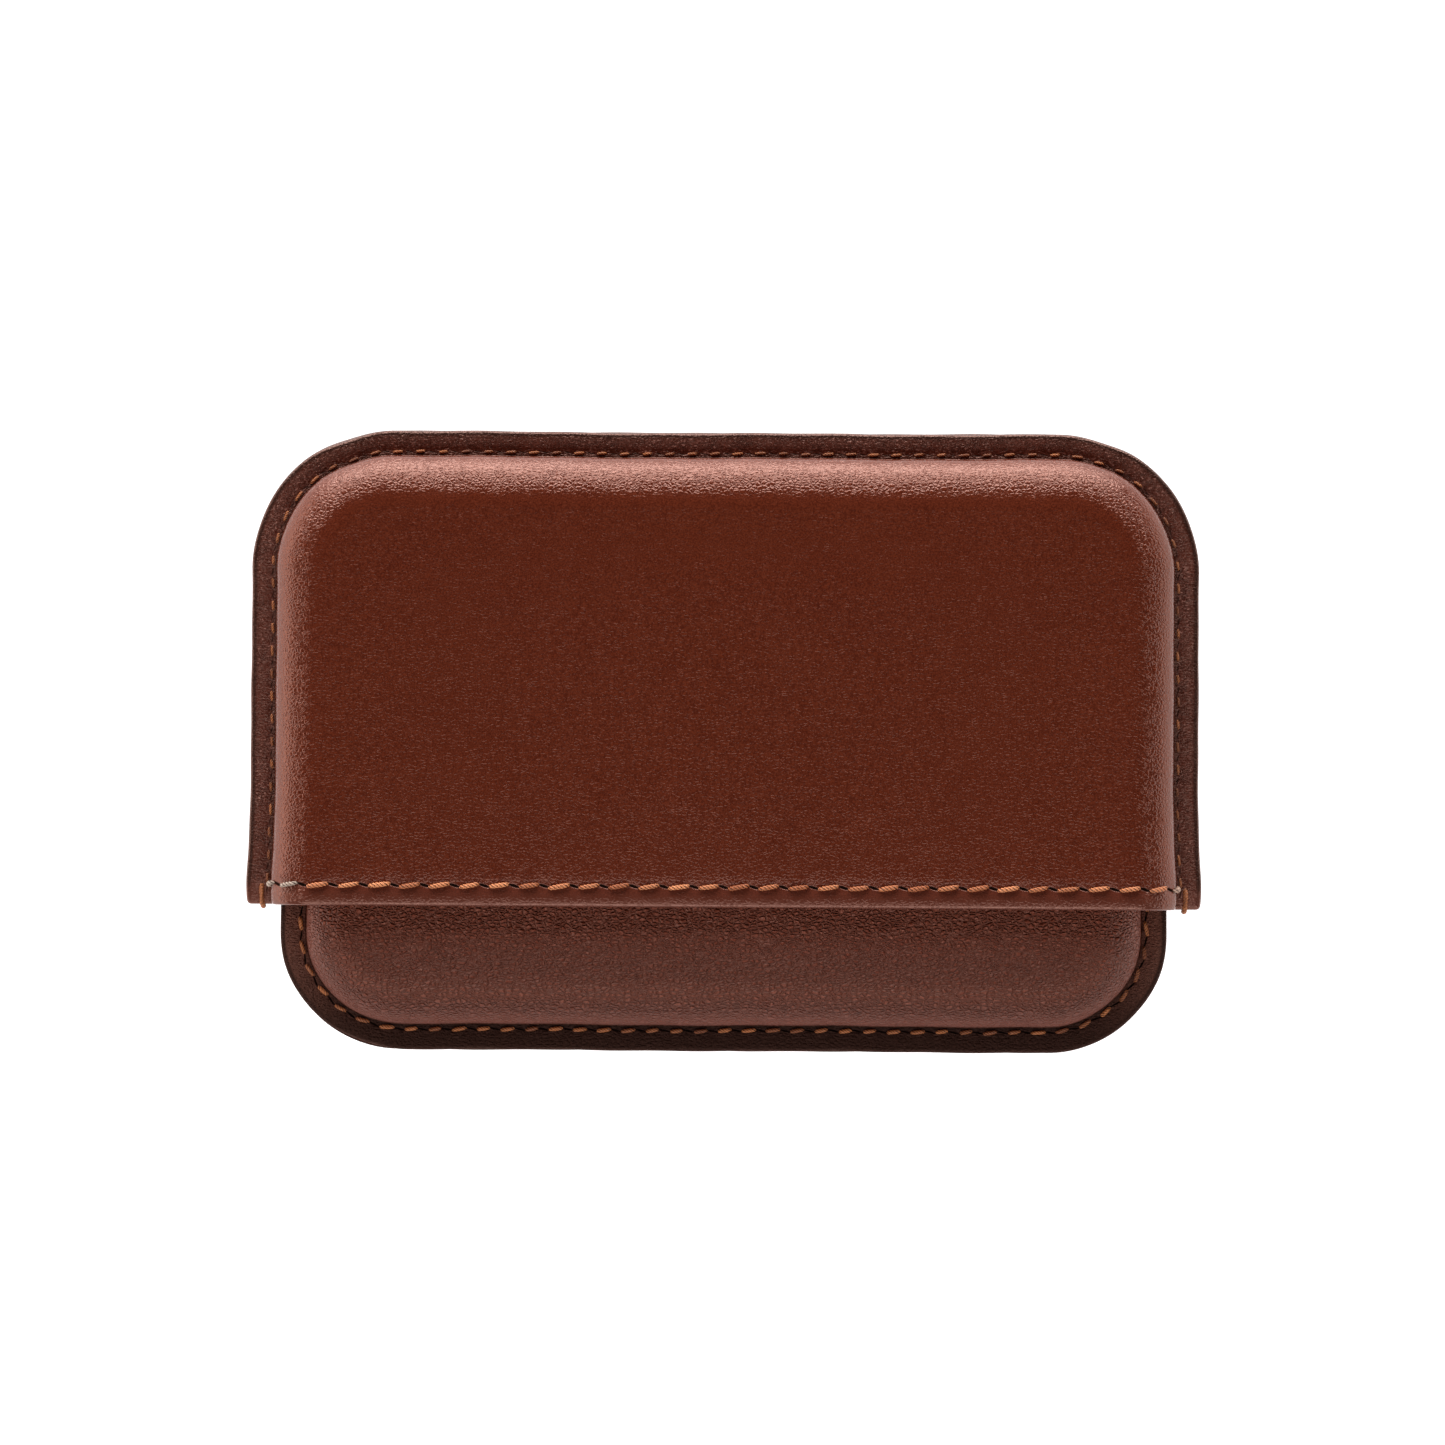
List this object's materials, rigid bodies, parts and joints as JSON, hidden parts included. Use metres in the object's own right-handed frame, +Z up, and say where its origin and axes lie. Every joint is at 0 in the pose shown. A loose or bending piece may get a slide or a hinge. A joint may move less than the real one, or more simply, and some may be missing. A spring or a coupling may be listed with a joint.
{
  "type": "business card case",
  "caption": "Slip-on business card case in moulded brown leather: a domed, stitched cap that slides over a matching tray for the cards.",
  "frame": {"origin": "centre of the closed case's footprint, on the surface that its back lies on", "axes": "+X across the case to the right, +Y towards the closed end of the cap and the way the cap slides off, +Z up out of the front face"},
  "size_m": [0.108, 0.07, 0.015],
  "materials": {
    "case_leather": "satin, pebbled grain",
    "lining_leather": "matte",
    "stiffener_board": "matte",
    "sewing_thread": "waxed"
  },
  "bodies": {
    "tray": {"tray_front_leather": "case_leather", "tray_front_lining": "lining_leather", "tray_front_board": "stiffener_board", "tray_front_rim_thread": "sewing_thread", "tray_front_mouth_thread": "sewing_thread", "tray_back_leather": "case_leather", "tray_back_lining": "lining_leather", "tray_back_board": "stiffener_board", "tray_back_rim_thread": "sewing_thread", "tray_back_mouth_thread": "sewing_thread"},
    "cap": {"cap_front_leather": "case_leather", "cap_front_lining": "lining_leather", "cap_front_board": "stiffener_board", "cap_front_rim_thread": "sewing_thread", "cap_front_mouth_thread": "sewing_thread", "cap_back_leather": "case_leather", "cap_back_lining": "lining_leather", "cap_back_board": "stiffener_board", "cap_back_rim_thread": "sewing_thread", "cap_back_mouth_thread": "sewing_thread"}
  },
  "joints": [
    {"name": "cap_slide", "type": "slide", "parent": "tray", "child": "cap", "axis": [0, 1, 0], "range_m": [0, 0.045]}
  ]
}
